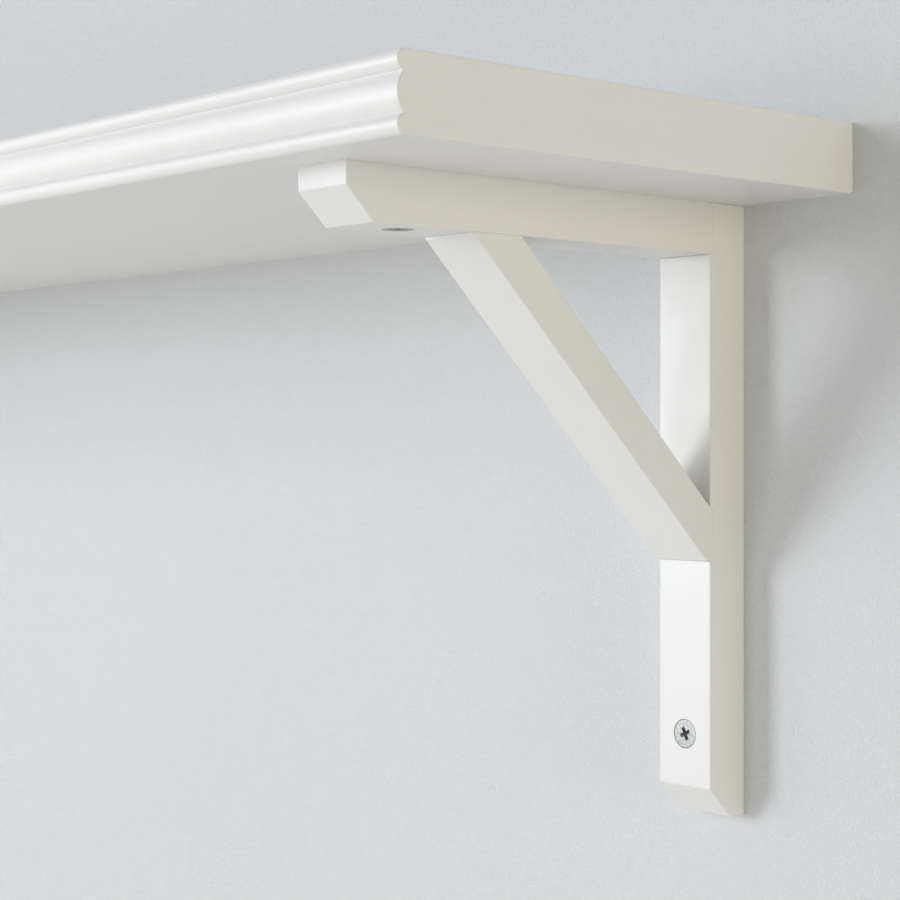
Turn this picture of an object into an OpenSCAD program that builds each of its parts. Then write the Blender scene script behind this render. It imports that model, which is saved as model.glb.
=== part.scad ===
// Wall shelf: a painted board with a moulded front edge, carried by two timber brackets.
// Millimetres. +X runs along the wall, +Y points into the wall and +Z is up.
// The origin is the centre of the board's rear face, which lies on the wall at Y = 0.

/* [Shelf board] */
// Length of the board along the wall
shelf_length = 800; // [560:10:1200]
// Depth of the board, from the wall to the front of its beads
shelf_depth = 200; // [190:5:300]
// Thickness of the board
shelf_thickness = 24; // [22:1:32]
// Height of the small bead at the top and at the bottom of the front edge
small_bead = 6.1; // [4:0.1:8]
// How far the beads stand out from the grooves between them
bead_depth = 2.3; // [1:0.1:2.5]

/* [Bracket] */
// Distance from each end of the board to the middle of its bracket
bracket_inset = 60; // [30:5:150]
// Width of every bracket bar, along the wall
bar_width = 24; // [22:1:36]
// Thickness of the upright and of the arm
bar_thickness = 18; // [18:1:24]
// Reach of the arm, from the wall to its tip
arm_reach = 180; // [170:5:185]
// Height of the upright
upright_height = 216; // [206:2:260]
// Bevel on the tip of the arm and on the foot of the upright
end_bevel = 10.7; // [5:0.1:14]
// How far the sides of the arm draw in at their top, which leaves a shadow line under the board
arm_taper = 0.45; // [0.2:0.05:1.5]

/* [Brace] */
// Distance from the wall to the front of the brace, under the arm
brace_reach = 128.5; // [110:0.5:130]
// Distance from the board down to the foot of the brace
brace_drop = 125.5; // [110:0.5:130]
// Thickness of the brace, square to its length
brace_thickness = 14.7; // [12:0.1:18]
// Height of the blunt edge where the brace meets the arm
brace_toe = 0.8; // [0.4:0.1:2]
// Depth of the blunt edge where the brace meets the upright
brace_heel = 1.5; // [0.4:0.1:2]
// Depth of the housings in the upright that take the arm and the brace
housing_depth = 2; // [1:0.5:3]

/* [Screws] */
// Distance from the board down to the upper wall screw
upper_screw_drop = 37; // [36:1:42]
// Distance from the board down to the lower wall screw
lower_screw_drop = 187; // [150:1:195]
// How far the wall screws reach into the wall
wall_grip = 32; // [20:1:60]
// Distance from the wall to the screw that holds the board
shelf_screw_reach = 150; // [140:1:160]
// How far that screw reaches into the board
shelf_grip = 12; // [8:1:16]

/* [Hidden] */
SIDES = [["left", -1], ["right", 1]];
BRACKET_NODES = [
    "upright", "arm", "brace",
    "arm_dowel_outer", "arm_dowel_inner", "brace_head_dowel", "brace_foot_dowel",
    "shelf_screw", "lower_wall_screw", "upper_wall_screw",
    "hanger_plate", "hanger_screw_top", "hanger_screw_bottom"
];

PAINT = "#f4f4f1";
ZINC = "#b9bcbf";
BEECH = "#d6b98c";

$fn = 72;
arm_taper_drop = 1.5;   // height over which the arm's sides draw in
eps = 0.1;              // overshoot of a cut past the face that it opens
overlap = 1;            // how far shapes that are joined or cut run into each other
fit = 0.05;             // radial clearance round a dowel or a screw thread
underside = -shelf_thickness / 2;
bracket_x = shelf_length / 2 - bracket_inset;
face = -bar_thickness;  // front face of the upright, and the underside of the arm
housing = face + housing_depth;

// Screws: [thread radius, head radius, rim height, radius of the plain shank]
WALL_SCREW = [2.5, 5, 0.5, 1.9];
SHELF_SCREW = [2.25, 5, 0.5, 1.7];
HANGER_SCREW = [1.5, 2.9, 0.1, 1.2];
screw_sink = 0.15;      // how far a countersunk head lies below the face
screw_play = 0.25;      // radial play of a screw in the bar that it clamps
wall_tip = 5;           // length of a wall screw's point
shelf_tip = 4;
hanger_tip = 3;
tip_r = 0.3;            // radius left at the very end of a point
pan_head_r = 4.6;
pan_head_h = 3;
pan_head_bevel = 1;
recess_turn = 25;       // how far the cross recesses are turned from upright
RECESS = [4.8, 1.1, 2.2];        // [length, width, depth]
HANGER_RECESS = [2.8, 0.7, 1.2];

dowel_chamfer = 0.8;
dowel_gap = 0.5;        // space left at each end of a dowel
arm_dowel_r = 3;
arm_dowel_spread = 6;   // from the middle of the bar to each arm dowel
arm_dowel_ends = [-36, -5.5];
brace_dowel_r = 2.5;
head_dowel_y = -(brace_reach - 15);
head_dowel_ends = [face - 10, face + 9.5];
foot_dowel_z = -(brace_drop - 14.5);
foot_dowel_ends = [face - 10, face + 9.5];

plate_thickness = 1.5;
plate_r = 8;            // half the width of the keyhole plate, and the radius of its ends
plate_half = 13;        // from the plate's middle to the centre of each round end
plate_z = -(upper_screw_drop + 8);
plate_hole = 16.5;      // from the plate's middle to each of its screws
plate_play = 0.1;
keyhole_entry_r = 5.25;
keyhole_entry = 13;     // from the top of the slot down to its wide entry
keyhole_slot_r = 2.8;
pocket_r = 5.45;
pocket_depth = 7;
hanger_screw_length = 11;
hanger_grip = 2;        // from the top of a hanger screw's head to its thread

// Points of an arc from angle a to angle b, in n steps
function arc(centre, r, a, b, n = 8) =
    [for (i = [0:n]) centre + r * [cos(a + (b - a) * i / n), sin(a + (b - a) * i / n)]];

// A slot with round ends, centred on z = low and z = high
module slot(r, low, high) {
    for (z = [low, high]) translate([0, z]) circle(r = r);
    translate([-r, low]) square([2 * r, high - low]);
}

// Extrudes a (y, z) outline along X, centred on the bar
module along_x(length) rotate([90, 0, 90]) linear_extrude(length, center = true) children();

// Extrudes an (x, z) outline along Y, from y = start to y = end
module along_y(start, end) translate([0, end, 0]) rotate([90, 0, 0]) linear_extrude(end - start) children();

// Turns a screw or a dowel made along +Z to point along -Y, +Y or +Z
module facing_front() rotate([90, 0, 0]) children();
module facing_wall() rotate([-90, 0, 0]) children();

// ---- Shelf board ----

// One bead of the front edge: a cylinder along X, cut to the height of its band
module bead(low, height) {
    r = (height * height / 4 + bead_depth * bead_depth) / (2 * bead_depth);
    intersection() {
        translate([-shelf_length / 2, r - shelf_depth, low + height / 2])
            rotate([0, 90, 0]) cylinder(h = shelf_length, r = r);
        translate([-shelf_length / 2, -shelf_depth, low])
            cube([shelf_length, bead_depth + overlap, height]);
    }
}

module shelf_board() {
    large_bead = shelf_thickness - 2 * small_bead;
    color(PAINT) difference() {
        union() {
            translate([-shelf_length / 2, bead_depth - shelf_depth, underside])
                cube([shelf_length, shelf_depth - bead_depth, shelf_thickness]);
            bead(underside, small_bead);
            bead(underside + small_bead, large_bead);
            bead(-underside - small_bead, small_bead);
        }
        for (side = SIDES)
            translate([side[1] * bracket_x, -shelf_screw_reach, underside - eps])
                cylinder(h = shelf_grip + dowel_gap + eps, r = SHELF_SCREW[0] + fit);
    }
}

// ---- Bars of the bracket; z = 0 is the underside of the board ----

// Outline of what a housing takes: square at the top, rounded at its lower inner corner
function tongue(top, low) = concat(
    [[face, top], [housing, top]],
    arc([face, low + housing_depth], housing_depth, 0, -90)
);

// Front and rear lines of the brace, as a point and a direction
brace_front = [-brace_reach, face - brace_toe];
brace_run = [face - brace_heel, -brace_drop] - brace_front;
brace_dir = brace_run / norm(brace_run);
brace_rear = brace_front + brace_thickness * [-brace_dir[1], brace_dir[0]];

// Where the rear line of the brace is at height z, or at distance y
function rear_y(z) = brace_rear[0] + (z - brace_rear[1]) * brace_dir[0] / brace_dir[1];
function rear_z(y) = brace_rear[1] + (y - brace_rear[0]) * brace_dir[1] / brace_dir[0];

// The part of the brace that stands in its housing
function brace_foot() = concat(
    [[face, rear_z(face)], [housing, rear_z(housing)]],
    arc([face, housing_depth - brace_drop], housing_depth, 0, -90)
);

// A hole for a countersunk screw from a face at z = 0 down to z = -through
module countersunk_hole(screw, play, through) {
    cone = screw[1] - screw[0] + screw_sink;
    translate([0, 0, -through]) cylinder(h = through + eps, r = screw[0] + play);
    translate([0, 0, -cone - screw[2] - screw_sink])
        cylinder(h = cone, r1 = screw[0], r2 = screw[1] + screw_sink);
    translate([0, 0, -screw[2] - screw_sink])
        cylinder(h = screw[2] + screw_sink + eps, r = screw[1] + screw_sink);
}

module upright() {
    color(PAINT) difference() {
        along_x(bar_width) difference() {
            polygon([
                [0, 0], [face, 0], [face, end_bevel - upright_height],
                [face + end_bevel, -upright_height], [0, -upright_height]
            ]);
            polygon(concat([[face - overlap, face], [face - overlap, overlap]], tongue(overlap, face)));
            polygon(concat([[face - overlap, -brace_drop], [face - overlap, rear_z(face)]], brace_foot()));
        }
        for (x = [-1, 1] * arm_dowel_spread)
            translate([x, arm_dowel_ends[1] + dowel_gap, face / 2])
                facing_front() cylinder(h = bar_thickness, r = arm_dowel_r + fit);
        translate([0, foot_dowel_ends[1] + dowel_gap, foot_dowel_z])
            facing_front() cylinder(h = bar_thickness, r = brace_dowel_r + fit);
        translate([0, face, -lower_screw_drop])
            facing_front() countersunk_hole(WALL_SCREW, screw_play, bar_thickness + eps);
        hanger_pocket();
    }
}

module hanger_pocket() {
    along_y(-plate_thickness - plate_play, eps) translate([0, plate_z])
        slot(plate_r + plate_play, -plate_half, plate_half);
    along_y(-pocket_depth, 0) translate([0, -upper_screw_drop])
        slot(pocket_r, -keyhole_entry, 0);
    for (z = [-1, 1] * plate_hole)
        translate([0, 0, plate_z + z])
            facing_front() cylinder(h = hanger_screw_length + dowel_gap, r = HANGER_SCREW[0] + fit);
}

module arm() {
    half = bar_width / 2;
    color(PAINT) difference() {
        union() {
            intersection() {
                along_x(bar_width) polygon([
                    [face, 0], [face, face], [end_bevel - arm_reach, face],
                    [-arm_reach, face + end_bevel], [-arm_reach, 0]
                ]);
                along_y(-arm_reach, face) polygon([
                    [-half, face], [half, face], [half, -arm_taper_drop],
                    [half - arm_taper, 0], [arm_taper - half, 0], [-half, -arm_taper_drop]
                ]);
            }
            along_x(bar_width) polygon(concat(
                [[face - overlap, face], [face - overlap, -arm_taper_drop], [face, -arm_taper_drop]],
                tongue(0, face)
            ));
        }
        for (x = [-1, 1] * arm_dowel_spread)
            translate([x, 0, face / 2])
                facing_front() cylinder(h = dowel_gap - arm_dowel_ends[0], r = arm_dowel_r + fit);
        translate([0, head_dowel_y, face - eps])
            cylinder(h = head_dowel_ends[1] - face + dowel_gap + eps, r = brace_dowel_r + fit);
        translate([0, -shelf_screw_reach, face]) rotate([180, 0, 0])
            countersunk_hole(SHELF_SCREW, screw_play, bar_thickness + eps);
    }
}

module brace() {
    color(PAINT) difference() {
        along_x(bar_width) polygon(concat(
            [[face - brace_heel, -brace_drop], brace_front, [-brace_reach, face], [rear_y(face), face]],
            brace_foot()
        ));
        translate([0, head_dowel_y, head_dowel_ends[0] - dowel_gap])
            cylinder(h = face - head_dowel_ends[0] + dowel_gap + eps, r = brace_dowel_r + fit);
        translate([0, housing + eps, foot_dowel_z]) facing_front()
            cylinder(h = housing + eps - foot_dowel_ends[0] + dowel_gap, r = brace_dowel_r + fit);
    }
}

// ---- Dowels and screws ----

// A dowel along +Z from 0, chamfered at both ends
module dowel(r, length) {
    c = dowel_chamfer;
    color(BEECH) union() {
        cylinder(h = c, r1 = r - c / 2, r2 = r);
        translate([0, 0, c]) cylinder(h = length - 2 * c, r = r);
        translate([0, 0, length - c]) cylinder(h = c, r1 = r, r2 = r - c / 2);
    }
}

module arm_dowel(side) {
    translate([side * arm_dowel_spread, arm_dowel_ends[1], face / 2])
        facing_front() dowel(arm_dowel_r, arm_dowel_ends[1] - arm_dowel_ends[0]);
}

module brace_head_dowel() {
    translate([0, head_dowel_y, head_dowel_ends[0]])
        dowel(brace_dowel_r, head_dowel_ends[1] - head_dowel_ends[0]);
}

module brace_foot_dowel() {
    translate([0, foot_dowel_ends[1], foot_dowel_z])
        facing_front() dowel(brace_dowel_r, foot_dowel_ends[1] - foot_dowel_ends[0]);
}

// Cross recess in a head whose top is at z = 0
module cross_recess(size) {
    for (turn = [0, 90]) rotate([0, 0, turn + recess_turn])
        translate([-size[0] / 2, -size[1] / 2, -size[2]]) cube([size[0], size[1], size[2] + eps]);
}

// The threaded end of a screw, from z = -grip down to its point at z = -length
module thread(r, grip, length, tip) {
    translate([0, 0, tip - length]) cylinder(h = length - tip - grip, r = r);
    translate([0, 0, -length]) cylinder(h = tip, r1 = tip_r, r2 = r);
}

// A countersunk screw with the top of its head at z = 0, pointing along -Z
module countersunk_screw(screw, grip, length, tip, recess = RECESS) {
    rim = screw[2];
    cone = screw[1] - screw[3];
    color(ZINC) difference() {
        union() {
            translate([0, 0, -rim]) cylinder(h = rim, r = screw[1]);
            translate([0, 0, -rim - cone]) cylinder(h = cone, r1 = screw[3], r2 = screw[1]);
            translate([0, 0, -grip]) cylinder(h = grip - rim - cone, r = screw[3]);
            thread(screw[0], grip, length, tip);
        }
        cross_recess(recess);
    }
}

module shelf_screw() {
    grip = bar_thickness - screw_sink;
    translate([0, -shelf_screw_reach, face + screw_sink]) rotate([180, 0, 0])
        countersunk_screw(SHELF_SCREW, grip, grip + shelf_grip, shelf_tip);
}

module lower_wall_screw() {
    grip = bar_thickness - screw_sink;
    translate([0, face + screw_sink, -lower_screw_drop]) facing_front()
        countersunk_screw(WALL_SCREW, grip, grip + wall_grip, wall_tip);
}

// The upper wall screw has a pan head, which the keyhole plate hooks over
module upper_wall_screw() {
    grip = plate_thickness + fit;
    rim = pan_head_h - pan_head_bevel;
    translate([0, -grip, -upper_screw_drop]) facing_front() color(ZINC) difference() {
        union() {
            translate([0, 0, rim])
                cylinder(h = pan_head_bevel, r1 = pan_head_r, r2 = pan_head_r - pan_head_bevel);
            cylinder(h = rim, r = pan_head_r);
            translate([0, 0, -grip]) cylinder(h = grip, r = WALL_SCREW[3]);
            thread(WALL_SCREW[0], grip, grip + wall_grip, wall_tip);
        }
        translate([0, 0, pan_head_h]) cross_recess(RECESS);
    }
}

// ---- Keyhole hanger, let into the back of the upright ----

module hanger_plate() {
    seat_r = HANGER_SCREW[1] + HANGER_SCREW[2] + 3 * fit;
    depth = plate_thickness + 2 * fit;
    color(ZINC) difference() {
        along_y(-plate_thickness, 0) difference() {
            translate([0, plate_z]) slot(plate_r, -plate_half, plate_half);
            translate([0, -upper_screw_drop]) slot(keyhole_slot_r, -keyhole_entry, 0);
            translate([0, -upper_screw_drop - keyhole_entry]) circle(r = keyhole_entry_r);
        }
        for (z = [-1, 1] * plate_hole) translate([0, 0, plate_z + z]) {
            translate([0, eps, 0]) facing_front()
                cylinder(h = plate_thickness + 2 * eps, r = HANGER_SCREW[0] + screw_play);
            translate([0, fit, 0]) facing_front()
                cylinder(h = depth, r1 = seat_r, r2 = seat_r - depth);
        }
    }
}

module hanger_screw(side) {
    translate([0, -fit, plate_z + side * plate_hole]) facing_wall()
        countersunk_screw(HANGER_SCREW, hanger_grip, hanger_screw_length - fit, hanger_tip, HANGER_RECESS);
}

// ---- The assembly ----

shelf_board();

for (side = SIDES) translate([side[1] * bracket_x, 0, underside]) {
    upright();
    arm();
    brace();
    arm_dowel(side[1]);
    arm_dowel(-side[1]);
    brace_head_dowel();
    brace_foot_dowel();
    shelf_screw();
    lower_wall_screw();
    upper_wall_screw();
    hanger_plate();
    hanger_screw(1);
    hanger_screw(-1);
}
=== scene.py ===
import math

import bmesh
import bpy
from mathutils import Matrix, Vector


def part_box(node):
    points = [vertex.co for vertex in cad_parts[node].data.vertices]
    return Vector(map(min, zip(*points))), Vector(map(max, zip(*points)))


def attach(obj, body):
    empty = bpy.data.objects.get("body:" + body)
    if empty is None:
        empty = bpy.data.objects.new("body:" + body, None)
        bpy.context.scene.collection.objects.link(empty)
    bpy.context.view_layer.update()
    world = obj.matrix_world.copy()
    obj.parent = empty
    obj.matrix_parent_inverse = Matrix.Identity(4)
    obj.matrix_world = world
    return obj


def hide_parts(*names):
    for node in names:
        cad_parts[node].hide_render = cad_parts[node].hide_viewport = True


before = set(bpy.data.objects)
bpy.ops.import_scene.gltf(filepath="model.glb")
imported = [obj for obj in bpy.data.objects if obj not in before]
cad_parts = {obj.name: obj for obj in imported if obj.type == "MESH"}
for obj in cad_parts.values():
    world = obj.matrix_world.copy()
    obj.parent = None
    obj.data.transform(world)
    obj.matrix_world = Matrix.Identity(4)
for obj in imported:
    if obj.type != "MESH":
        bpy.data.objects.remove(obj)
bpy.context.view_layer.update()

# Shapes are built in millimetres. The pieces of a bracket have x = 0 at the middle of its bars,
# y = 0 at the wall and z = 0 at the underside of the board, and place() moves them to each bracket.
# The board is built where it is. place() also turns millimetres into metres.
MM = 0.001
ROOT = "root"
SIDES = ("left", "right")


def node_box(node):
    """Lowest and highest corner of a CAD node, in millimetres."""
    low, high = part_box(node)
    return low / MM, high / MM


BOARD_LOW, BOARD_HIGH = node_box("shelf_board")
UNDERSIDE = BOARD_LOW.z
UPRIGHT_LOW, UPRIGHT_HIGH = node_box("right_upright")
ARM_LOW = node_box("right_arm")[0]
BRACE_LOW = node_box("right_brace")[0]

# Bars of the bracket. FACE is the upright's front face, and also the height of the arm's underside.
BAR = UPRIGHT_HIGH.x - UPRIGHT_LOW.x
HALF = BAR / 2
FACE = UPRIGHT_LOW.y
HEIGHT = UPRIGHT_HIGH.z - UPRIGHT_LOW.z
REACH = -ARM_LOW.y
BRACE_REACH = -BRACE_LOW.y
BRACE_DROP = UNDERSIDE - BRACE_LOW.z
END_BEVEL = 10.7
HOUSING = 2.0
BRACE_THICKNESS = 14.7
BRACE_TOE = 0.8
BRACE_HEEL = 1.5

# Board: its moulded edge is a large bead between two small ones
SMALL_BEAD = 6.1
BEAD_DEPTH = 2.3
GROOVE_ROUND = 0.2
BOARD_REAR_ROUND = 0.9
BOARD_EASE = 0.6

# How far the arm's sides draw in at its top, and over what height
ARM_TAPER = 0.45
ARM_TAPER_DROP = 1.5

# Radius along the bars' edges: in general, against the wall, at an open joint and at a filled one
EDGE_EASE = 0.45
REAR_EASE = 0.25
SEAM_EASE = 0.4
FILLED_EASE = 0.12
EASE_SEGMENTS = 4

# Tolerances for telling where an edge lies, and how far a cutter runs past the face that it opens
TOUCH = 0.01
MARGIN = 0.1
OVERSHOOT = 1.0

# Screws: radii of thread, head and plain shank, height of the head's rim, and length of the point
SCREW_SINK = 0.15
WALL_SCREW = dict(thread=2.5, head=5.0, rim=0.5, shank=1.9, pitch=2.4, tip=5.0)
SHELF_SCREW = dict(thread=2.25, head=5.0, rim=0.5, shank=1.7, pitch=2.0, tip=4.0)
HANGER_SCREW = dict(thread=1.5, head=2.9, rim=0.1, shank=1.2, pitch=1.3, tip=3.0)
PAN_HEAD = dict(r=4.6, height=3.0, bevel=1.0, edge=0.15)
SCREW_PLAY = 0.25       # round a screw in the piece that it clamps
FIT = 0.05              # round a dowel or a thread
TIP_R = 0.15            # radius left at the very end of a point
TIP_ROOT_SHARE = 0.6    # the thread's root there, as a share of that radius
TIP_FULLNESS = 0.8      # power that rounds the point's outline
ROOT_SHARE = 0.68       # the thread's root, as a share of its outer radius
CREST_SHARE = 0.25      # half the width of the thread's ridge, as a share of the pitch
SHANK_START = 0.9       # where the plain shank's last stretch begins, as a share of its length
NECK = 0.6              # length of plain shank drawn with the head
HEAD_EDGE = 0.18        # width of the broken edge round a countersunk head
EDGE_BREAK = 0.3        # how far its middle is drawn in, as a share of its width
HOLE_BREAK = 0.12       # width of the bevel round the mouth of a countersunk hole
HEAD_STEPS = 48
THREAD_STEPS = 24
RECESS = dict(length=4.8, width=1.4, depth=2.4)
HANGER_RECESS = dict(length=2.8, width=0.7, depth=1.2)
RECESS_RISE = 0.3       # how far the recess's cutter stands above the head
RECESS_TURN = math.radians(25)

SHELF_SCREW_Y = node_box("right_shelf_screw")[0].y + SHELF_SCREW["head"]
LOWER_SCREW_Z = node_box("right_lower_wall_screw")[0].z + WALL_SCREW["head"] - UNDERSIDE
UPPER_SCREW_Z = node_box("right_upper_wall_screw")[0].z + PAN_HEAD["r"] - UNDERSIDE
WALL_GRIP = 32.0
SHELF_GRIP = 12.0

# Dowels: the gap is what each hole is longer than its dowel
ARM_DOWEL = dict(r=3.0, x=6.0, ends=(-36.0, -5.5))
BRACE_DOWEL_R = 2.5
HEAD_DOWEL = dict(y=-(BRACE_REACH - 15), ends=(FACE - 10, FACE + 9.5))
FOOT_DOWEL = dict(z=-(BRACE_DROP - 14.5), ends=(FACE - 10, FACE + 9.5))
DOWEL_GAP = 0.5
DOWEL_CHAMFER = 0.8
DOWEL_FLUTES = 20
FLUTE_DEPTH = 0.22

# Keyhole hanger: ease is the radius along the plate's edges
PLATE = dict(thick=1.5, r=8.0, half=13.0, z=UPPER_SCREW_Z - 8, hole=16.5, play=0.1, ease=0.2)
KEYHOLE = dict(entry_r=5.25, entry_cut=4.0, drop=13.0, slot_r=2.8, pocket_r=5.45, pocket_depth=7.0)
HANGER_LENGTH = 11.0
HANGER_GRIP = 3.0

# Edges sharper than this are eased, and stay sharp in the shading
CREASE = math.radians(32)


# ---- Outlines ----

def arc(cx, cy, r, start, end, steps):
    """Points of an arc from angle start to angle end, in degrees."""
    turn = [math.radians(start + (end - start) * i / steps) for i in range(steps + 1)]
    return [(cx + r * math.cos(a), cy + r * math.sin(a)) for a in turn]


def fillet(before, corner, after, r, steps=4):
    """A corner of an outline, rounded to radius r."""
    c = Vector(corner)
    u = (Vector(before) - c).normalized()
    v = (Vector(after) - c).normalized()
    half = u.angle(v) / 2
    middle = c + (u + v).normalized() * (r / math.sin(half))
    reach = r / math.tan(half)
    start, end = c + u * reach - middle, c + v * reach - middle
    sweep = math.atan2(start.x * end.y - start.y * end.x, start.dot(end))
    return [tuple(middle + Matrix.Rotation(sweep * i / steps, 2) @ start) for i in range(steps + 1)]


def round_corners(points, radii):
    """An outline with the corners at the given indices rounded."""
    made = []
    for i, p in enumerate(points):
        if i in radii:
            made += fillet(points[i - 1], p, points[(i + 1) % len(points)], radii[i])
        else:
            made.append(p)
    return made


def slot_outline(r, low, high, steps=32):
    return arc(0, high, r, 0, 180, steps) + arc(0, low, r, 180, 360, steps)


# ---- Meshes ----

def mesh_of(bm, name="work"):
    mesh = bpy.data.meshes.new(name)
    bmesh.ops.recalc_face_normals(bm, faces=bm.faces)
    bm.to_mesh(mesh)
    bm.free()
    return mesh


def prism(outline, low, high, axis):
    """An outline swept along x, y or z. It holds (y, z), (x, z) or (x, y)."""
    place = {"x": lambda p, t: (t, p[0], p[1]),
             "y": lambda p, t: (p[0], t, p[1]),
             "z": lambda p, t: (p[0], p[1], t)}[axis]
    bm = bmesh.new()
    rings = [[bm.verts.new(place(p, t)) for p in outline] for t in (low, high)]
    bm.faces.new(rings[0])
    bm.faces.new(rings[1])
    bridge(bm, rings[0], rings[1])
    return mesh_of(bm)


def bridge(bm, a, b):
    """Quads between two rings of the same length."""
    n = len(a)
    for i in range(n):
        bm.faces.new((a[i], a[(i + 1) % n], b[(i + 1) % n], b[i]))


def ring_at(bm, r, z, steps):
    """A ring of vertices about z, or a single vertex where its radius is 0."""
    if r == 0:
        return [bm.verts.new((0, 0, z))]
    return [bm.verts.new((x, y, z)) for x, y in arc(0, 0, r, 0, 360, steps)[:-1]]


def turned(profile, steps=HEAD_STEPS):
    """A solid of revolution about z from (radius, z) points; a radius of 0 is a point."""
    bm = bmesh.new()
    rings = [ring_at(bm, r, z, steps) for r, z in profile]
    for a, b in zip(rings, rings[1:]):
        join_rings(bm, a, b)
    for end in (rings[0], rings[-1]):
        if len(end) > 1:
            bm.faces.new(end)
    return mesh_of(bm)


def join_rings(bm, a, b):
    """Faces between two rings: equal, or one twice the other, or one a single point."""
    if len(a) < len(b):
        a, b = b, a
    n = len(a)
    for i in range(n):
        j = (i + 1) % n
        if len(b) == 1:
            bm.faces.new((a[i], a[j], b[0]))
        elif len(b) == n:
            bm.faces.new((a[i], a[j], b[j], b[i]))
        elif i % 2 == 0:
            k, m = b[i // 2], b[(i // 2 + 1) % len(b)]
            bm.faces.new((a[i], a[j], k))
            bm.faces.new((a[j], a[(i + 2) % n], m))
            bm.faces.new((a[j], m, k))


def moved(mesh, matrix):
    """The mesh, transformed in place. A mirrored one gets its normals turned back outwards."""
    mesh.transform(matrix)
    if matrix.determinant() < 0:
        mesh.flip_normals()
    return mesh


FACING_FRONT = Matrix.Rotation(math.pi / 2, 4, "X")
FACING_WALL = Matrix.Rotation(-math.pi / 2, 4, "X")
UPSIDE_DOWN = Matrix.Rotation(math.pi, 4, "X")


def at(x, y, z, turn=None):
    return Matrix.Translation((x, y, z)) @ (turn or Matrix.Identity(4))


def temporary(mesh):
    obj = bpy.data.objects.new("work", mesh)
    bpy.context.scene.collection.objects.link(obj)
    return obj


def baked(obj, *others):
    """The mesh of obj with its modifiers applied. The working objects are removed."""
    graph = bpy.context.evaluated_depsgraph_get()
    mesh = bpy.data.meshes.new_from_object(obj.evaluated_get(graph))
    for o in (obj, *others):
        bpy.data.objects.remove(o)
    return mesh


def eased(mesh, radius_of, segments=EASE_SEGMENTS):
    """Rounds each sharp edge to radius_of(middle, direction)."""
    widths = [0.0] * len(mesh.edges)
    faces = {}
    for p in mesh.polygons:
        for key in p.edge_keys:
            faces.setdefault(key, []).append(p.normal)
    for e in mesh.edges:
        a, b = (mesh.vertices[i].co for i in e.vertices)
        n = faces[tuple(sorted(e.vertices))]
        if n[0].angle(n[1]) > CREASE:
            widths[e.index] = radius_of((a + b) / 2, (b - a).normalized())
    most = max(widths)
    weights = mesh.attributes.new("bevel_weight_edge", "FLOAT", "EDGE")
    weights.data.foreach_set("value", [w / most for w in widths])
    obj = temporary(mesh)
    bevel = obj.modifiers.new("ease", "BEVEL")
    bevel.limit_method = "WEIGHT"
    bevel.width = most
    bevel.segments = segments
    bevel.use_clamp_overlap = False
    return baked(obj)


def combined(mesh, operation, others):
    """mesh with the other closed meshes joined to it or cut from it."""
    obj = temporary(mesh)
    tools = [temporary(m) for m in others]
    for tool in tools:
        step = obj.modifiers.new("step", "BOOLEAN")
        step.operation = operation
        step.solver = "EXACT"
        step.object = tool
    return baked(obj, *tools)


def cleaned(mesh):
    bm = bmesh.new()
    bm.from_mesh(mesh)
    bmesh.ops.remove_doubles(bm, verts=bm.verts, dist=1e-4)
    bmesh.ops.dissolve_degenerate(bm, edges=bm.edges, dist=1e-4)
    bm.to_mesh(mesh)
    bm.free()
    return mesh


# ---- Board ----

def bead_arc(low, height):
    """Front arc of a bead of the moulded edge, from its bottom to its top."""
    r = (height * height / 4 + BEAD_DEPTH * BEAD_DEPTH) / (2 * BEAD_DEPTH)
    half = math.degrees(math.asin(height / 2 / r))
    steps = 24 if height > SMALL_BEAD else 16
    return arc(BOARD_LOW.y + r, low + height / 2, r, 180 + half, 180 - half, steps)


def board_outline():
    low, high = BOARD_LOW.z, BOARD_HIGH.z
    large = high - low - 2 * SMALL_BEAD
    bottom = bead_arc(low, SMALL_BEAD)
    middle = bead_arc(low + SMALL_BEAD, large)
    top = bead_arc(high - SMALL_BEAD, SMALL_BEAD)
    points = [(0, high), (0, low)] + bottom[:-1] + middle[:-1] + top
    grooves = (1 + len(bottom), len(bottom) + len(middle))
    return round_corners(points, {0: BOARD_REAR_ROUND, 1: BOARD_REAR_ROUND,
                                  grooves[0]: GROOVE_ROUND, grooves[1]: GROOVE_ROUND})


def inset(outline, distance):
    """The outline moved inwards by distance."""
    n = len(outline)
    area = sum(outline[i][0] * outline[(i + 1) % n][1] - outline[(i + 1) % n][0] * outline[i][1]
               for i in range(n))
    turn = 1 if area > 0 else -1
    made = []
    for i in range(n):
        a, p, b = Vector(outline[i - 1]), Vector(outline[i]), Vector(outline[(i + 1) % n])
        u, v = (p - a).normalized(), (b - p).normalized()
        nu, nv = Vector((-u.y, u.x)) * turn, Vector((-v.y, v.x)) * turn
        made.append(tuple(p + (nu + nv) * (distance / (1 + nu.dot(nv)))))
    return made


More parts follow.
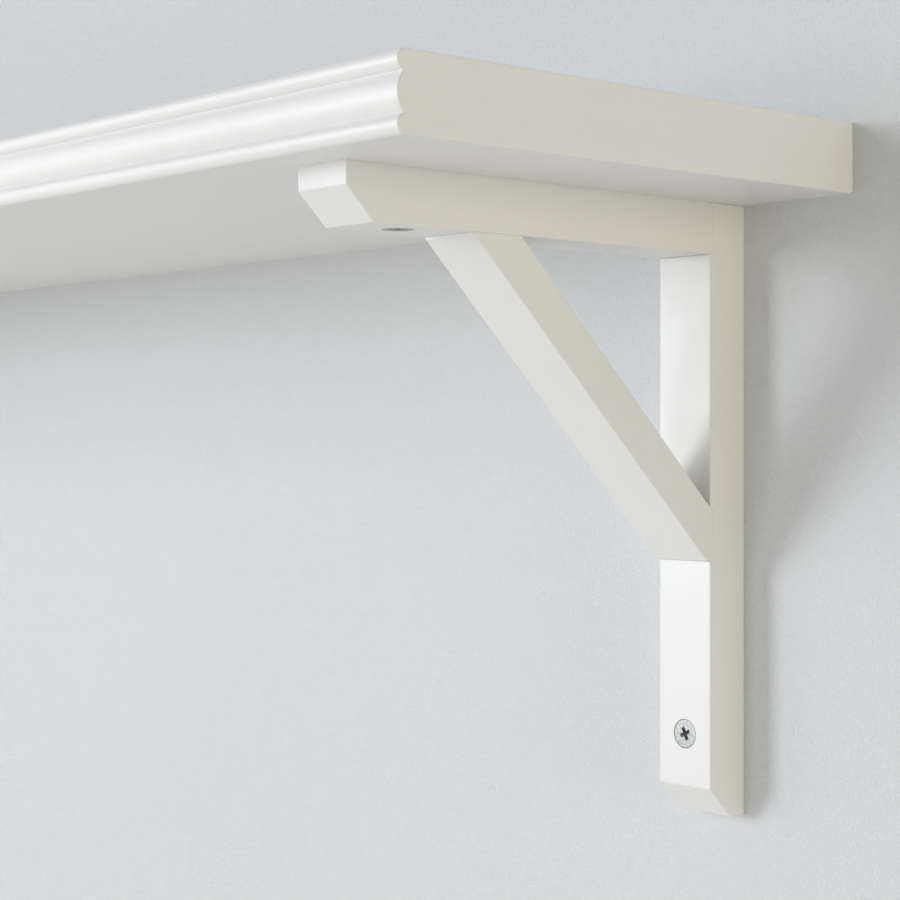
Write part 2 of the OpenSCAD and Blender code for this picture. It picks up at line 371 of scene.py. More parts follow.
def board_mesh():
    """The board, its ends eased ring by ring, with a pilot hole over each arm."""
    outline = board_outline()
    bm = bmesh.new()
    rings = []
    for side in (-1, 1):
        end = BOARD_HIGH.x if side > 0 else BOARD_LOW.x
        eases = [math.pi / 2 * i / EASE_SEGMENTS for i in range(EASE_SEGMENTS + 1)]
        for a in (eases[::-1] if side < 0 else eases):
            shape = inset(outline, BOARD_EASE * (1 - math.cos(a))) if a else outline
            x = end - side * BOARD_EASE * (1 - math.sin(a))
            rings.append([bm.verts.new((x, y, z)) for y, z in shape])
    bm.faces.new(rings[0])
    bm.faces.new(rings[-1])
    for a, b in zip(rings, rings[1:]):
        bridge(bm, a, b)
    r = SHELF_SCREW["thread"] + FIT
    holes = [moved(turned([(r, -OVERSHOOT), (r, SHELF_GRIP + DOWEL_GAP)]),
                   at(bracket_x(side), SHELF_SCREW_Y, BOARD_LOW.z)) for side in SIDES]
    return combined(mesh_of(bm), "DIFFERENCE", holes)


def bracket_x(side):
    """Middle of a bracket's bars."""
    low, high = node_box(side + "_upright")
    return (low.x + high.x) / 2


# ---- Bars ----

def brace_line():
    """A point on the rear line of the brace, and its direction."""
    front = Vector((-BRACE_REACH, FACE - BRACE_TOE))
    run = (Vector((FACE - BRACE_HEEL, -BRACE_DROP)) - front).normalized()
    return front + BRACE_THICKNESS * Vector((-run.y, run.x)), run


def rear_z(y):
    """Height of the brace's rear line at y."""
    p, run = brace_line()
    return p.y + (y - p.x) * run.y / run.x


def rear_y(z):
    """The y of the brace's rear line at height z."""
    p, run = brace_line()
    return p.x + (z - p.y) * run.x / run.y


def tongue_foot(low):
    """Rounded lower end of a tongue or housing, from its inner side to its face."""
    return arc(FACE, low + HOUSING, HOUSING, 0, -90, 10)


def runs_along_x(direction):
    return abs(direction.x) > 0.9


def countersink(screw, through):
    """A cutter for a countersunk hole whose face is z = 0 and whose axis runs down."""
    r, rim = screw["head"] + SCREW_SINK, screw["rim"] + SCREW_SINK
    cone = screw["head"] - screw["thread"] + SCREW_SINK
    play = screw["thread"] + SCREW_PLAY
    depth = cone + rim
    return turned([(play, -through - OVERSHOOT), (play, -depth + SCREW_PLAY), (r, -rim), (r, -HOLE_BREAK),
                   (r + HOLE_BREAK, 0), (r + HOLE_BREAK, OVERSHOOT)])


def drill(r, length):
    """A cutter from z = 0 up to z = length."""
    return turned([(r, 0), (r, length)])


def upright_mesh():
    """The upright, with housings for arm and brace in its front and a pocket for the hanger behind."""
    inner = FACE + HOUSING
    outline = ([(0, 0), (inner, 0)] + tongue_foot(FACE) + [(FACE, rear_z(FACE)), (inner, rear_z(inner))]
               + tongue_foot(-BRACE_DROP)
               + [(FACE, END_BEVEL - HEIGHT), (FACE + END_BEVEL, -HEIGHT), (0, -HEIGHT)])

    def ease(middle, direction):
        in_housing = middle.y < inner + MARGIN and middle.z > -BRACE_DROP - MARGIN
        along = runs_along_x(direction)
        if in_housing and (middle.y > FACE + TOUCH or along):
            return SEAM_EASE
        if middle.y > -TOUCH and not along:
            return REAR_EASE
        return SEAM_EASE if abs(middle.z) < TOUCH else EDGE_EASE

    mesh = eased(prism(outline, -HALF, HALF, "x"), ease)
    cuts = [moved(countersink(WALL_SCREW, -FACE), at(0, FACE, LOWER_SCREW_Z, FACING_FRONT))]
    for x in (-ARM_DOWEL["x"], ARM_DOWEL["x"]):
        cuts.append(moved(drill(ARM_DOWEL["r"] + FIT, BAR),
                          at(x, ARM_DOWEL["ends"][1] + DOWEL_GAP, FACE / 2, FACING_FRONT)))
    cuts.append(moved(drill(BRACE_DOWEL_R + FIT, BAR),
                      at(0, FOOT_DOWEL["ends"][1] + DOWEL_GAP, FOOT_DOWEL["z"], FACING_FRONT)))
    plate = plate_outline(PLATE["r"] + PLATE["play"])
    pocket = slot_outline(KEYHOLE["pocket_r"], UPPER_SCREW_Z - KEYHOLE["drop"], UPPER_SCREW_Z)
    cuts.append(prism(plate, -PLATE["thick"] - PLATE["play"], OVERSHOOT, "y"))
    cuts.append(prism(pocket, -KEYHOLE["pocket_depth"], OVERSHOOT, "y"))
    for side in (-1, 1):
        cuts.append(moved(drill(HANGER_SCREW["thread"] + FIT, HANGER_LENGTH + DOWEL_GAP),
                          at(0, 0, PLATE["z"] + side * PLATE["hole"], FACING_FRONT)))
    return combined(mesh, "DIFFERENCE", cuts)


def plate_outline(r):
    """Outline of the hanger plate, or with a larger radius of its seat, at its place."""
    return [(x, z + PLATE["z"]) for x, z in slot_outline(r, -PLATE["half"], PLATE["half"])]


def narrowed_top(mesh):
    """Draws in the arm's upper edges, which leaves a shallow shadow line under the board."""
    bm = bmesh.new()
    bm.from_mesh(mesh)
    bmesh.ops.bisect_plane(bm, geom=bm.verts[:] + bm.edges[:] + bm.faces[:],
                           plane_co=(0, 0, -ARM_TAPER_DROP), plane_no=(0, 0, 1))
    for v in bm.verts:
        if v.co.z > -TOUCH:
            v.co.x -= math.copysign(ARM_TAPER, v.co.x)
    return mesh_of(bm)


def arm_mesh():
    """The arm's body and tongue. Its lower edges are filled with paint where the brace meets them."""
    inner = FACE + HOUSING
    front, rear = -BRACE_REACH, rear_y(FACE)
    body = [(FACE + OVERSHOOT, 0), (FACE + OVERSHOOT, FACE), (rear + OVERSHOOT, FACE), (rear, FACE),
            (front, FACE), (front - OVERSHOOT, FACE), (END_BEVEL - REACH, FACE),
            (-REACH, FACE + END_BEVEL), (-REACH, 0)]

    def ease(middle, direction):
        if middle.y > FACE or middle.z > -TOUCH:
            return 0.0
        over_brace = front - MARGIN < middle.y < rear + MARGIN
        return FILLED_EASE if middle.z < FACE + TOUCH and over_brace else EDGE_EASE

    def tongue_ease(middle, direction):
        return SEAM_EASE if middle.y > FACE + TOUCH and not runs_along_x(direction) else 0.0

    tongue = [(FACE, 0), (inner, 0)] + tongue_foot(FACE)
    mesh = combined(eased(narrowed_top(prism(body, -HALF, HALF, "x")), ease), "UNION",
                    [eased(prism(tongue, -HALF, HALF, "x"), tongue_ease)])
    cuts = [moved(countersink(SHELF_SCREW, -FACE), at(0, SHELF_SCREW_Y, FACE, UPSIDE_DOWN))]
    for x in (-ARM_DOWEL["x"], ARM_DOWEL["x"]):
        cuts.append(moved(drill(ARM_DOWEL["r"] + FIT, DOWEL_GAP - ARM_DOWEL["ends"][0]),
                          at(x, 0, FACE / 2, FACING_FRONT)))
    cuts.append(moved(drill(BRACE_DOWEL_R + FIT, HEAD_DOWEL["ends"][1] - FACE + DOWEL_GAP + OVERSHOOT),
                      at(0, HEAD_DOWEL["y"], FACE - OVERSHOOT)))
    return combined(mesh, "DIFFERENCE", cuts)


def brace_mesh():
    """The brace: blunt under the arm, blunt at the upright, and let into the upright's housing."""
    inner = FACE + HOUSING
    outline = ([(FACE - BRACE_HEEL, -BRACE_DROP), (-BRACE_REACH, FACE - BRACE_TOE), (-BRACE_REACH, FACE),
                (rear_y(FACE), FACE), (inner, rear_z(inner))] + tongue_foot(-BRACE_DROP))

    def ease(middle, direction):
        if middle.z > FACE - BRACE_TOE - MARGIN:
            return FILLED_EASE
        return SEAM_EASE if middle.y > FACE - BRACE_HEEL - MARGIN else EDGE_EASE

    mesh = eased(prism(outline, -HALF, HALF, "x"), ease)
    cuts = [moved(drill(BRACE_DOWEL_R + FIT, FACE - HEAD_DOWEL["ends"][0] + DOWEL_GAP + OVERSHOOT),
                  at(0, HEAD_DOWEL["y"], HEAD_DOWEL["ends"][0] - DOWEL_GAP)),
            moved(drill(BRACE_DOWEL_R + FIT, inner + OVERSHOOT - FOOT_DOWEL["ends"][0] + DOWEL_GAP),
                  at(0, inner + OVERSHOOT, FOOT_DOWEL["z"], FACING_FRONT))]
    return combined(mesh, "DIFFERENCE", cuts)


# ---- Dowels and screws ----

def dowel_mesh(r, length):
    """A fluted dowel along z, chamfered at both ends."""
    bm = bmesh.new()
    steps = 4 * DOWEL_FLUTES
    rings = []
    c = DOWEL_CHAMFER
    end = [(0, r - c / 2), (c / 2, r - c / 8), (c, r)]
    for z, top in end + [(length - z, top) for z, top in reversed(end)]:
        depth = FLUTE_DEPTH if c / 2 < z < length - c / 2 else 0
        ring = []
        for i in range(steps):
            a = 2 * math.pi * i / steps
            radius = min(top, r - depth * (0.5 + 0.5 * math.cos(a * DOWEL_FLUTES)) ** 2)
            ring.append(bm.verts.new((radius * math.cos(a), radius * math.sin(a), z)))
        rings.append(ring)
    for a, b in zip(rings, rings[1:]):
        bridge(bm, a, b)
    bm.faces.new(rings[0])
    bm.faces.new(rings[-1])
    return mesh_of(bm)


def recess_cutter(size):
    """A cross recess cut down from z = 0, with tapered wings and a pointed middle."""
    meshes = []
    top, width, depth = size["length"] / 2, size["width"] / 2, size["depth"]
    # Height of each section of a wing, and its length and width as shares of those at the face
    sections = ((RECESS_RISE, 1.05, 1.03), (0, 1.0, 1.0), (-depth * 0.75, 0.62, 0.72), (-depth, 0.3, 0.6))
    for turn in (0, math.pi / 2):
        bm = bmesh.new()
        rings = []
        for z, long, wide in sections:
            x, y = top * long, width * wide
            rings.append([bm.verts.new(p) for p in ((-x, -y, z), (x, -y, z), (x, y, z), (-x, y, z))])
        for a, b in zip(rings, rings[1:]):
            bridge(bm, a, b)
        bm.faces.new(rings[0])
        bm.faces.new(rings[-1])
        meshes.append(moved(mesh_of(bm), Matrix.Rotation(turn + RECESS_TURN, 4, "Z")))
    core = turned([(0, -depth * 1.05), (width * 0.9, -depth * 0.8), (width * 1.5, 0),
                   (width * 1.5, RECESS_RISE)], 16)
    return meshes + [moved(core, Matrix.Rotation(RECESS_TURN, 4, "Z"))]


def screw_mesh(screw, head, grip, length, recess, recess_z=0.0):
    """A screw along -z: head profile, plain shank to z = -grip, then a real helical thread."""
    bm = bmesh.new()
    rings = [ring_at(bm, r, z, HEAD_STEPS) for r, z in head]
    rings += [ring_at(bm, screw["shank"], z, THREAD_STEPS) for z in (-grip * SHANK_START, -grip)]
    for a, b in zip(rings, rings[1:]):
        join_rings(bm, a, b)
    last = rings[-1]
    step = screw["pitch"] / THREAD_STEPS
    rows = int((length - grip) / step)
    for j in range(1, rows):
        z = -grip - j * step
        row = thread_ring(bm, screw, z, grip, length, j)
        for i in range(THREAD_STEPS):
            k = (i + 1) % THREAD_STEPS
            bm.faces.new((last[i], last[k], row[i]))
            bm.faces.new((last[k], row[k], row[i]))
        last = row
    join_rings(bm, last, [bm.verts.new((0, 0, -length))])
    return combined(mesh_of(bm), "DIFFERENCE", [moved(m, at(0, 0, recess_z)) for m in recess_cutter(recess)])


def thread_ring(bm, screw, z, grip, length, j):
    """One ring of the thread, whose crest climbs one pitch a turn."""
    taper = min(1.0, (z + length) / screw["tip"])
    start = min(1.0, (-grip - z) / screw["pitch"])
    crest = TIP_R + (screw["thread"] - TIP_R) * taper
    tip_root = TIP_R * TIP_ROOT_SHARE
    root = tip_root + (screw["thread"] * ROOT_SHARE - tip_root) * taper ** TIP_FULLNESS
    root = min(root, crest)
    if start < 1.0:
        root = screw["shank"] + (root - screw["shank"]) * start
    ring = []
    for i in range(THREAD_STEPS):
        phase = ((i + j) % THREAD_STEPS) / THREAD_STEPS
        near = min(phase, 1 - phase)
        rise = max(0.0, 1 - near / CREST_SHARE) * start
        r = root + (crest - root) * rise
        a = 2 * math.pi * i / THREAD_STEPS
        ring.append(bm.verts.new((r * math.cos(a), r * math.sin(a), z)))
    return ring


def countersunk_head(screw):
    """Profile of a countersunk head from the middle of its top down to the shank."""
    r, rim, shank = screw["head"], screw["rim"], screw["shank"]
    cone = r - shank
    edge = min(HEAD_EDGE, rim)
    return [(0, 0), (r - edge, 0), (r - edge * EDGE_BREAK, -edge * EDGE_BREAK), (r, -edge), (r, -rim),
            (shank, -rim - cone), (shank, -rim - cone - NECK)]


def pan_head():
    """Profile of the upper wall screw's pan head, which stands above z = 0."""
    r, height, bevel, edge = (PAN_HEAD[key] for key in ("r", "height", "bevel", "edge"))
    dome = [(r - bevel + bevel * math.sin(a), height - bevel + bevel * math.cos(a))
            for a in (math.radians(degrees) for degrees in range(0, 91, 15))]
    shank = WALL_SCREW["shank"]
    return [(0, height)] + dome + [(r, edge), (r - edge, 0), (shank, 0), (shank, -NECK)]


def shelf_screw_mesh():
    grip = -FACE - SCREW_SINK
    mesh = screw_mesh(SHELF_SCREW, countersunk_head(SHELF_SCREW), grip, grip + SHELF_GRIP, RECESS)
    return moved(mesh, at(0, SHELF_SCREW_Y, FACE + SCREW_SINK, UPSIDE_DOWN))


def lower_wall_screw_mesh():
    grip = -FACE - SCREW_SINK
    mesh = screw_mesh(WALL_SCREW, countersunk_head(WALL_SCREW), grip, grip + WALL_GRIP, RECESS)
    return moved(mesh, at(0, FACE + SCREW_SINK, LOWER_SCREW_Z, FACING_FRONT))


def upper_wall_screw_mesh():
    grip = PLATE["thick"] + FIT
    mesh = screw_mesh(WALL_SCREW, pan_head(), grip, grip + WALL_GRIP, RECESS, recess_z=PAN_HEAD["height"])
    return moved(mesh, at(0, -grip, UPPER_SCREW_Z, FACING_FRONT))


def hanger_screw_mesh(side):
    """The hanger's screw above the keyhole for side 1, or below it for side -1."""
    mesh = screw_mesh(HANGER_SCREW, countersunk_head(HANGER_SCREW), HANGER_GRIP, HANGER_LENGTH - FIT,
                      HANGER_RECESS)
    return moved(mesh, at(0, -FIT, PLATE["z"] + side * PLATE["hole"], FACING_WALL))


def hanger_plate_mesh():
    """Keyhole plate: a rounded strip with a keyhole and two countersunk screw holes."""
    thick = PLATE["thick"]
    strip = prism(plate_outline(PLATE["r"]), -thick, 0, "y")
    mesh = eased(strip, lambda middle, direction: PLATE["ease"], segments=3)
    entry_z = UPPER_SCREW_Z - KEYHOLE["drop"]
    slot = slot_outline(KEYHOLE["slot_r"], entry_z, UPPER_SCREW_Z)
    entry_r, entry_cut = KEYHOLE["entry_r"], KEYHOLE["entry_cut"]
    cuts = [prism(slot, -thick - OVERSHOOT, OVERSHOOT, "y"),
            moved(turned([(entry_r, -entry_cut), (entry_r, entry_cut)]), at(0, 0, entry_z, FACING_FRONT))]
    seat = HANGER_SCREW["head"] + HANGER_SCREW["rim"] + 3 * FIT
    hole = HANGER_SCREW["thread"] + SCREW_PLAY
    for side in (-1, 1):
        cone = [(hole, -2 * thick), (hole, -(seat - hole) - FIT), (seat, -FIT), (seat, OVERSHOOT)]
        cuts.append(moved(turned(cone), at(0, 0, PLATE["z"] + side * PLATE["hole"], FACING_WALL)))
    return combined(mesh, "DIFFERENCE", cuts)


# ---- Materials ----
# Colours are linear. Each surface varies between its dark and its light tone.

PAINT_DARK = (0.823, 0.823, 0.809)
PAINT_LIGHT = (0.839, 0.839, 0.825)
ZINC_DARK = (0.29, 0.295, 0.295)
ZINC_LIGHT = (0.47, 0.475, 0.475)
STEEL_DARK = (0.40, 0.41, 0.42)
STEEL_LIGHT = (0.52, 0.53, 0.53)
BEECH_DARK = (0.60, 0.40, 0.22)
BEECH_LIGHT = (0.74, 0.55, 0.34)
FLECK = (0.62, 0.50, 0.40)
NO_FLECK = (1, 1, 1)
# The wall's tones carry random variation and painted shade: across the wall its colour runs from the dark
# tone at -X to the light one at +X.
WALL_DARK = (0.656, 0.674, 0.678)
WALL_LIGHT = (0.724, 0.742, 0.748)
FLOOR_DARK = (0.765, 0.748, 0.71)
FLOOR_LIGHT = (0.795, 0.778, 0.74)

# Turns that bring a bar's grain onto the x axis
ALONG_X = (0, 0, 0)
ALONG_Y = (0, 0, math.pi / 2)
ALONG_Z = (0, math.pi / 2, 0)
BRACE_RUN = brace_line()[1]
ALONG_BRACE = (math.atan2(BRACE_RUN.y, -BRACE_RUN.x), 0, math.pi / 2)


def add(tree, kind, values=None, **settings):
    """A node with its settings and the values of its inputs."""
    node = tree.nodes.new(kind)
    for key, value in settings.items():
        setattr(node, key, value)
    for key, value in (values or {}).items():
        node.inputs[key].default_value = value
    return node


def wire(tree, *pairs):
    """Links from outputs to inputs."""
    for out, into in pairs:
        tree.links.new(out, into)


def new_material(name):
    material = bpy.data.materials.new(name)
    material.use_nodes = True
    tree = material.node_tree
    shader = tree.nodes["Principled BSDF"]
    return material, tree, shader


def mapped(tree, rotation=(0, 0, 0), scale=(1, 1, 1)):
    """Object coordinates, turned and then scaled."""
    coords = add(tree, "ShaderNodeTexCoord")
    turn = add(tree, "ShaderNodeMapping", {"Rotation": rotation})
    stretch = add(tree, "ShaderNodeMapping", {"Scale": scale})
    wire(tree, (coords.outputs["Object"], turn.inputs["Vector"]),
         (turn.outputs["Vector"], stretch.inputs["Vector"]))
    return stretch.outputs["Vector"]


def noise(tree, vector, scale, detail=2.0, roughness=0.5, distortion=0.0):
    node = add(tree, "ShaderNodeTexNoise",
               {"Scale": scale, "Detail": detail, "Roughness": roughness, "Distortion": distortion})
    wire(tree, (vector, node.inputs["Vector"]))
    return node.outputs["Fac"]


def ramp(tree, factor, stops):
    """A colour ramp from (position, colour) stops."""
    node = add(tree, "ShaderNodeValToRGB")
    elements = node.color_ramp.elements
    while len(elements) < len(stops):
        elements.new(0.5)
    for element, (position, colour) in zip(elements, stops):
        element.position = position
        element.color = (*colour, 1)
    wire(tree, (factor, node.inputs["Fac"]))
    return node.outputs["Color"]


def bump(tree, height, strength, distance, normal=None):
    node = add(tree, "ShaderNodeBump", {"Strength": strength, "Distance": distance})
    wire(tree, (height, node.inputs["Height"]))
    if normal:
        wire(tree, (normal, node.inputs["Normal"]))
    return node.outputs["Normal"]


def remap(tree, value, low, high):
    node = add(tree, "ShaderNodeMapRange", {"To Min": low, "To Max": high})
    wire(tree, (value, node.inputs["Value"]))
    return node.outputs["Result"]


def painted_wood(name, rotation, grain_depth):
    """Satin paint over timber whose grain runs along the turned x axis."""
    material, tree, shader = new_material(name)
    plain = mapped(tree, rotation)
    along = mapped(tree, rotation, scale=(30, 620, 620))
    tone = noise(tree, plain, scale=14, detail=3.0)
    sheen = noise(tree, plain, scale=60, detail=3.0)
    lines = noise(tree, along, scale=1, detail=4.0, roughness=0.55, distortion=0.4)
    grain = bump(tree, lines, strength=grain_depth, distance=0.0002)
    peel = bump(tree, noise(tree, plain, scale=700), strength=0.05, distance=0.0003, normal=grain)
    wire(tree, (ramp(tree, tone, [(0.3, PAINT_DARK), (0.7, PAINT_LIGHT)]), shader.inputs["Base Color"]),
         (remap(tree, sheen, low=0.30, high=0.42), shader.inputs["Roughness"]),
         (peel, shader.inputs["Normal"]))
    shader.inputs["Specular IOR Level"].default_value = 0.45
    return material


def zinc(name, dark, light, low, high):
    """Dull zinc plating: mottled, finely uneven, and of a roughness that varies from low to high."""
    material, tree, shader = new_material(name)
    plain = mapped(tree)
    mottle = noise(tree, plain, scale=900, detail=4.0, roughness=0.6)
    sheen = noise(tree, plain, scale=2600, detail=3.0)
    marks = bump(tree, noise(tree, plain, scale=3500), strength=0.12, distance=0.0001)
    wire(tree, (ramp(tree, mottle, [(0.35, dark), (0.65, light)]), shader.inputs["Base Color"]),
         (remap(tree, sheen, low, high), shader.inputs["Roughness"]), (marks, shader.inputs["Normal"]))
    shader.inputs["Metallic"].default_value = 1.0
    return material


def beech(name, rotation):
    """Raw beech: pale pink-brown with short dark flecks along the grain."""
    material, tree, shader = new_material(name)
    along = mapped(tree, rotation, scale=(60, 900, 900))
    flecks = noise(tree, mapped(tree, rotation, scale=(350, 2600, 2600)), scale=1)
    tone = noise(tree, along, scale=1, detail=4.0, roughness=0.6, distortion=0.6)
    base = ramp(tree, tone, [(0.3, BEECH_DARK), (0.7, BEECH_LIGHT)])
    fleck = ramp(tree, flecks, [(0.30, FLECK), (0.42, NO_FLECK)])
    mix = add(tree, "ShaderNodeMix", data_type="RGBA", blend_type="MULTIPLY")
    mix.inputs["Factor"].default_value = 1.0
    grain = bump(tree, noise(tree, along, scale=2, detail=4.0), strength=0.25, distance=0.0002)
    wire(tree, (base, mix.inputs["A"]), (fleck, mix.inputs["B"]),
         (mix.outputs["Result"], shader.inputs["Base Color"]),
         (remap(tree, flecks, low=0.5, high=0.7), shader.inputs["Roughness"]),
         (grain, shader.inputs["Normal"]))
    return material


def one_sided(tree, shader):
    """Stage surfaces are seen from the object's side only, so the object shows from behind them."""
    output = tree.nodes["Material Output"]
    facing = add(tree, "ShaderNodeNewGeometry")
    clear = add(tree, "ShaderNodeBsdfTransparent")
    mix = add(tree, "ShaderNodeMixShader")
    wire(tree, (facing.outputs["Backfacing"], mix.inputs["Fac"]), (shader.outputs["BSDF"], mix.inputs[1]),
         (clear.outputs["BSDF"], mix.inputs[2]), (mix.outputs["Shader"], output.inputs["Surface"]))


def wall_paint():
    """Matt rolled wall paint, with a roller's fine orange peel and a random tone. Its colour also turns
    lighter towards +X: painted shade, darker to the left as if less light fell there.
    """
    material, tree, shader = new_material("wall_paint")
    plain = mapped(tree)
    # Painted shade: the x coordinate is mixed into the colour, so the wall is darker towards -X, as light
    # falling off across it would make it.
    split = add(tree, "ShaderNodeSeparateXYZ")
    tone = add(tree, "ShaderNodeMath", operation="MULTIPLY_ADD")
    tone.inputs[1].default_value = 0.3
    spread = add(tree, "ShaderNodeMapRange", {"From Min": -0.15, "From Max": 0.45})
    wire(tree, (plain, split.inputs["Vector"]), (noise(tree, plain, scale=2.2), tone.inputs[0]),
         (split.outputs["X"], tone.inputs[2]), (tone.outputs["Value"], spread.inputs["Value"]))
    wire(tree, (ramp(tree, spread.outputs["Result"], [(0.0, WALL_DARK), (1.0, WALL_LIGHT)]),
                shader.inputs["Base Color"]))
    shader.inputs["Roughness"].default_value = 0.9
    shader.inputs["Specular IOR Level"].default_value = 0.2
    coarse = bump(tree, noise(tree, plain, scale=420, detail=3.0, roughness=0.55), strength=0.3,
                  distance=0.0010)
    fine = bump(tree, noise(tree, plain, scale=1100), strength=0.6, distance=0.0010, normal=coarse)
    wire(tree, (fine, shader.inputs["Normal"]))
    one_sided(tree, shader)
    return material


def floor_finish():
    material, tree, shader = new_material("floor_finish")
    tone = noise(tree, mapped(tree), scale=1.5, detail=3.0)
    wire(tree, (ramp(tree, tone, [(0.3, FLOOR_DARK), (0.7, FLOOR_LIGHT)]), shader.inputs["Base Color"]))
    shader.inputs["Roughness"].default_value = 0.8
    one_sided(tree, shader)
    return material


# ---- Pieces ----

# How strongly large flat faces set the shading of the eased edges beside them
FLAT_FACE_WEIGHT = 90


def place(name, mesh, material, slot, position):
    """One visible piece: it stands for the CAD node of the same name and rides on the root body."""
    cleaned(mesh)
    mesh.transform(Matrix.Scale(MM, 4))
    mesh.materials.clear()
    mesh.materials.append(material)
    mesh.polygons.foreach_set("use_smooth", [True] * len(mesh.polygons))
    mesh.set_sharp_from_angle(angle=CREASE)
    mesh.name = name + "_mesh"
    obj = bpy.data.objects.new(name + "_visual", mesh)
    bpy.context.scene.collection.objects.link(obj)
    obj.location = Vector(position) * MM
    normals = obj.modifiers.new("normals", "WEIGHTED_NORMAL")
    normals.keep_sharp = True
    normals.weight = FLAT_FACE_WEIGHT
    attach(obj, ROOT)
    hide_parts(name)


def build_board():
    paint = painted_wood("board_paint", ALONG_X, grain_depth=0.05)
    place("shelf_board", board_mesh(), paint, "painted_board", (0, 0, 0))


def build_brackets():
    """Each piece is made once and placed in both brackets. The arm's dowels swap sides in the left one."""
    upright = painted_wood("upright_paint", ALONG_Z, grain_depth=0.10)
    arm = painted_wood("arm_paint", ALONG_Y, grain_depth=0.10)
    brace = painted_wood("brace_paint", ALONG_BRACE, grain_depth=0.10)
    plating = zinc("zinc_plating", ZINC_DARK, ZINC_LIGHT, low=0.46, high=0.60)
    steel = zinc("hanger_plating", STEEL_DARK, STEEL_LIGHT, low=0.34, high=0.50)
    across = beech("beech_along_y", ALONG_Y)
    upward = beech("beech_along_z", ALONG_Z)
    length = ARM_DOWEL["ends"][1] - ARM_DOWEL["ends"][0]
    brace_length = HEAD_DOWEL["ends"][1] - HEAD_DOWEL["ends"][0]

    def arm_dowel(x):
        return moved(dowel_mesh(ARM_DOWEL["r"], length), at(x, ARM_DOWEL["ends"][1], FACE / 2, FACING_FRONT))

    parts = [
        ("upright", upright_mesh(), upright, "painted_bracket"),
        ("arm", arm_mesh(), arm, "painted_bracket"),
        ("brace", brace_mesh(), brace, "painted_bracket"),
        ("arm_dowel_outer", arm_dowel(ARM_DOWEL["x"]), across, "beech"),
        ("arm_dowel_inner", arm_dowel(-ARM_DOWEL["x"]), across, "beech"),
        ("brace_head_dowel", moved(dowel_mesh(BRACE_DOWEL_R, brace_length),
                                   at(0, HEAD_DOWEL["y"], HEAD_DOWEL["ends"][0])), upward, "beech"),
        ("brace_foot_dowel", moved(dowel_mesh(BRACE_DOWEL_R, brace_length),
                                   at(0, FOOT_DOWEL["ends"][1], FOOT_DOWEL["z"], FACING_FRONT)),
         across, "beech"),
        ("shelf_screw", shelf_screw_mesh(), plating, "zinc_screw"),
        ("lower_wall_screw", lower_wall_screw_mesh(), plating, "zinc_screw"),
        ("upper_wall_screw", upper_wall_screw_mesh(), plating, "zinc_screw"),
        ("hanger_plate", hanger_plate_mesh(), steel, "hanger_steel"),
        ("hanger_screw_top", hanger_screw_mesh(1), plating, "zinc_screw"),
        ("hanger_screw_bottom", hanger_screw_mesh(-1), plating, "zinc_screw"),
    ]
    for part, mesh, material, slot in parts:
        for side in SIDES:
            copy = mesh.copy()
            if side == "left" and part.startswith("arm_dowel"):
                copy = moved(copy, Matrix.Scale(-1, 4, (1, 0, 0)))
            place(f"{side}_{part}", copy, material, slot, (bracket_x(side), 0, UNDERSIDE))


# ---- Stage, lights and camera, in metres ----

FLOOR_Z = -1.3
WALL_TOP = 2.2
WALL_SPAN = 5.0
FLOOR_SPAN = 40.0
# How far the object laps over the edges of the wall's openings
GAP = 0.00015


def build_wall():
    """A wall at y = 0, open where the object's rear faces lie on it."""
    board = (BOARD_LOW.x * MM, BOARD_LOW.z * MM, BOARD_HIGH.x * MM, BOARD_HIGH.z * MM)
    holes = [board]
    for side in SIDES:
        low, high = node_box(side + "_upright")
        holes.append((low.x * MM, low.z * MM, high.x * MM, BOARD_LOW.z * MM + 2 * GAP))
    holes = [(a + GAP, b + GAP, c - GAP, d - GAP) for a, b, c, d in holes]
    xs = sorted({-WALL_SPAN, WALL_SPAN, *(h[0] for h in holes), *(h[2] for h in holes)})
    zs = sorted({FLOOR_Z, WALL_TOP, *(h[1] for h in holes), *(h[3] for h in holes)})
    bm = bmesh.new()
    grid = {(x, z): bm.verts.new((x, 0, z)) for x in xs for z in zs}
    for x0, x1 in zip(xs, xs[1:]):
        for z0, z1 in zip(zs, zs[1:]):
            x, z = (x0 + x1) / 2, (z0 + z1) / 2
            if not any(a < x < c and b < z < d for a, b, c, d in holes):
                bm.faces.new((grid[x0, z0], grid[x1, z0], grid[x1, z1], grid[x0, z1]))
    stage_object("wall", bm, wall_paint())


def build_floor():
    bm = bmesh.new()
    s = FLOOR_SPAN
    bm.faces.new([bm.verts.new((x, y, FLOOR_Z)) for x, y in ((-s, -s), (s, -s), (s, s), (-s, s))])
    stage_object("floor", bm, floor_finish())


def stage_object(name, bm, material):
    mesh = bpy.data.meshes.new(name)
    bm.to_mesh(mesh)
    bm.free()
    mesh.materials.append(material)
    obj = bpy.data.objects.new(name, mesh)
    bpy.context.scene.collection.objects.link(obj)


def area_light(name, position, target, size, energy, colour):
    data = bpy.data.lights.new(name, "AREA")
    data.shape = "RECTANGLE"
    data.size, data.size_y = size
    data.energy = energy
    data.color = colour
    obj = bpy.data.objects.new(name, data)
    bpy.context.scene.collection.objects.link(obj)
    obj.location = position
    obj.rotation_euler = (Vector(target) - Vector(position)).to_track_quat("-Z", "Y").to_euler()
    obj.visible_camera = False
    return obj


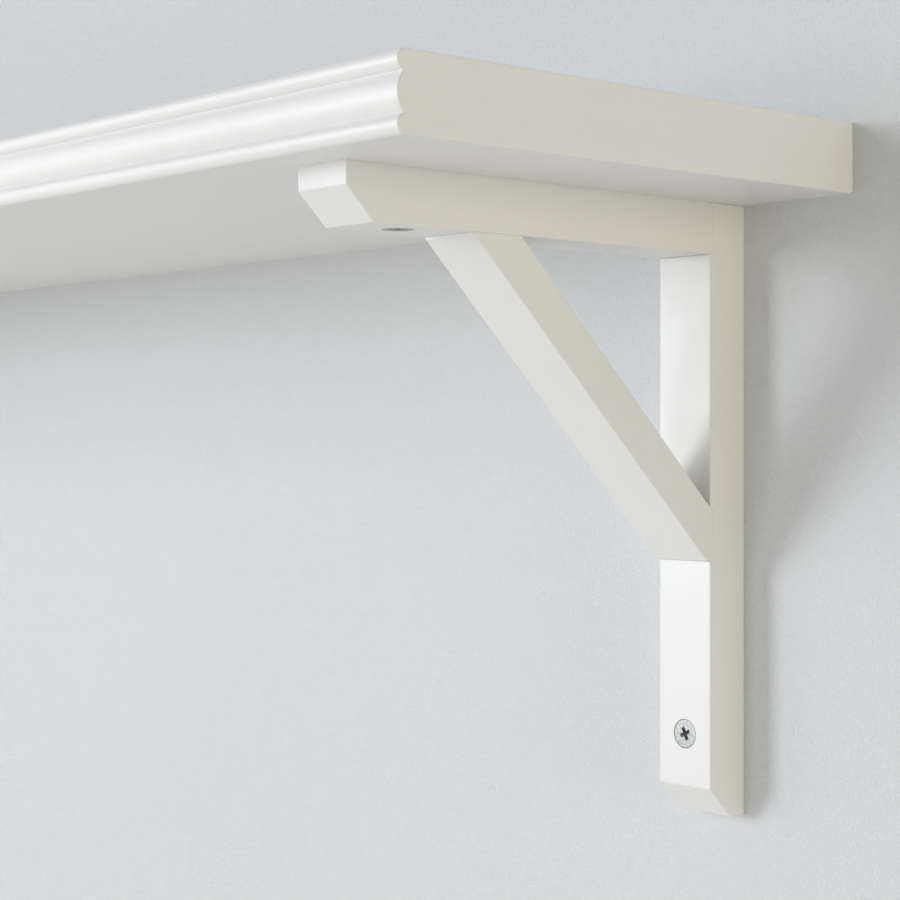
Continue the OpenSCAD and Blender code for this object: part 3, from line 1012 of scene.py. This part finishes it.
# Name, place, target, size, power in watts and colour of each front or side light
BRACKET = (0.35, 0, -0.1)
MIDDLE = (0, 0, -0.1)
LIGHTS = (
    ("key", (-2.77, -4.0, 0.9), BRACKET, (1.3, 2.2), 71, (0.915, 0.97, 1.0)),
    ("key_low", (-2.77, -4.0, 0.0), BRACKET, (1.3, 1.4), 44, (0.885, 0.925, 1.0)),
    ("front_fill", (0.0, -2.5, 0.1), BRACKET, (0.7, 0.9), 8, (0.841, 0.82, 1.0)),
    ("left_fill", (-3.0, -1.2, 0.4), BRACKET, (2.5, 2.5), 32.6, (1.0, 0.925, 0.83)),
    ("right_fill", (4.5, -0.8, -0.1), BRACKET, (1.3, 2.5), 44.5, (1.0, 0.916, 0.623)),
)
REAR_LIGHT = ("rear_fill", (-1.3, 2.6, 0.6), MIDDLE, (1.0, 1.0), 3.2, (1.0, 1.0, 1.0))
REAR_SPREAD = math.radians(40)
ROOM_COLOUR = (0.975, 0.975, 1.0, 1)
ROOM_STRENGTH = 0.318

CAMERA_PLACE = (0.8330, -0.5604, -0.0986)
CAMERA_TILT = math.radians(90)
CAMERA_TURN = math.radians(48.775)
CAMERA_LENS = 82.31
CAMERA_SENSOR = 36.0
CAMERA_NEAR = 0.01


def build_lights():
    """A tall soft key from the front left, wide fills from both sides and a weak even room light."""
    for light in LIGHTS:
        area_light(*light)
    area_light(*REAR_LIGHT).data.spread = REAR_SPREAD
    world = bpy.data.worlds.new("soft_room")
    world.use_nodes = True
    background = world.node_tree.nodes["Background"]
    background.inputs["Color"].default_value = ROOM_COLOUR
    background.inputs["Strength"].default_value = ROOM_STRENGTH
    bpy.context.scene.world = world


def build_camera():
    """The level camera that takes the photo's view."""
    data = bpy.data.cameras.new("camera")
    data.sensor_width = CAMERA_SENSOR
    data.lens = CAMERA_LENS
    data.clip_start = CAMERA_NEAR
    camera = bpy.data.objects.new("camera", data)
    bpy.context.scene.collection.objects.link(camera)
    camera.location = CAMERA_PLACE
    camera.rotation_euler = (CAMERA_TILT, 0, CAMERA_TURN)
    bpy.context.scene.camera = camera


build_board()
build_brackets()
build_wall()
build_floor()
build_lights()
build_camera()
bpy.context.scene.view_settings.view_transform = "Standard"

bpy.context.view_layer.update()
